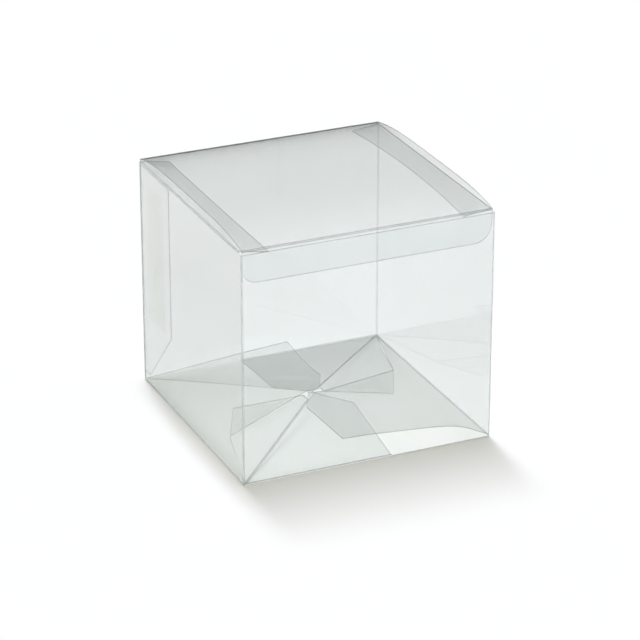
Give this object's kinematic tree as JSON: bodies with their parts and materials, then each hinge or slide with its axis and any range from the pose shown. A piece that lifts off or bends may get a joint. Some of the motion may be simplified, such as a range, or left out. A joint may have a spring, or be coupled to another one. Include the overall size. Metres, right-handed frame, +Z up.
{
  "type": "clear plastic box",
  "caption": "Clear folding carton with a tuck-in lid, dust flaps and an interlocking crash-lock bottom, for packing or showing small goods.",
  "frame": {"origin": "middle of the footprint, on the surface the box stands on", "axes": "+Z up, -Y towards the front wall that the lid tucks behind, +X to the right seen from the front"},
  "size_m": [0.12, 0.12, 0.1133],
  "materials": {
    "clear_sheet": "clear polished PVC sheet",
    "pressed_crease": "clear PVC, whitened and dulled where it was pressed",
    "adhesive": "clear dried glue"
  },
  "bodies": {
    "carton": {"front_wall": "clear_sheet", "back_wall": "clear_sheet", "right_wall": "clear_sheet", "left_wall": "clear_sheet", "front_left_corner_crease": "pressed_crease", "front_right_corner_crease": "pressed_crease", "back_left_corner_crease": "pressed_crease", "back_right_corner_crease": "pressed_crease", "front_foot_crease": "pressed_crease", "back_foot_crease": "pressed_crease", "right_foot_crease": "pressed_crease", "left_foot_crease": "pressed_crease", "seam_flap": "clear_sheet", "seam_glue_film": "adhesive", "front_bottom_flap": "clear_sheet", "back_bottom_flap": "clear_sheet", "front_glue_tab": "clear_sheet", "back_glue_tab": "clear_sheet", "left_bottom_flap": "clear_sheet", "right_bottom_flap": "clear_sheet", "front_tab_glue_film": "adhesive", "back_tab_glue_film": "adhesive", "front_diagonal_crease": "pressed_crease", "back_diagonal_crease": "pressed_crease", "lid_hinge_crease": "pressed_crease", "left_dust_crease": "pressed_crease", "right_dust_crease": "pressed_crease"},
    "lid": {"lid_panel": "clear_sheet", "tuck_crease": "pressed_crease"},
    "tuck": {"tuck_flap": "clear_sheet"},
    "left_dust": {"left_dust_flap": "clear_sheet"},
    "right_dust": {"right_dust_flap": "clear_sheet"}
  },
  "joints": [
    {"name": "lid_hinge", "type": "hinge", "parent": "carton", "child": "lid", "pos_m": [0, 0.05975, 0.10975], "axis": [-1, 0, 0], "range_deg": [0, 210]},
    {"name": "tuck_fold", "type": "hinge", "parent": "lid", "child": "tuck", "pos_m": [0, -0.05875, 0.10975], "axis": [-1, 0, 0], "range_deg": [0, 52.5]},
    {"name": "left_dust_fold", "type": "hinge", "parent": "carton", "child": "left_dust", "pos_m": [-0.05975, 0, 0.10915], "axis": [0, -1, 0], "range_deg": [0, 84]},
    {"name": "right_dust_fold", "type": "hinge", "parent": "carton", "child": "right_dust", "pos_m": [0.05975, 0, 0.10915], "axis": [0, 1, 0], "range_deg": [0, 84]}
  ],
  "couplings": [
    {"joint": "tuck_fold", "follows": "lid_hinge", "ratio": 0.25},
    {"joint": "left_dust_fold", "follows": "lid_hinge", "ratio": 0.4},
    {"joint": "right_dust_fold", "follows": "lid_hinge", "ratio": 0.4}
  ]
}
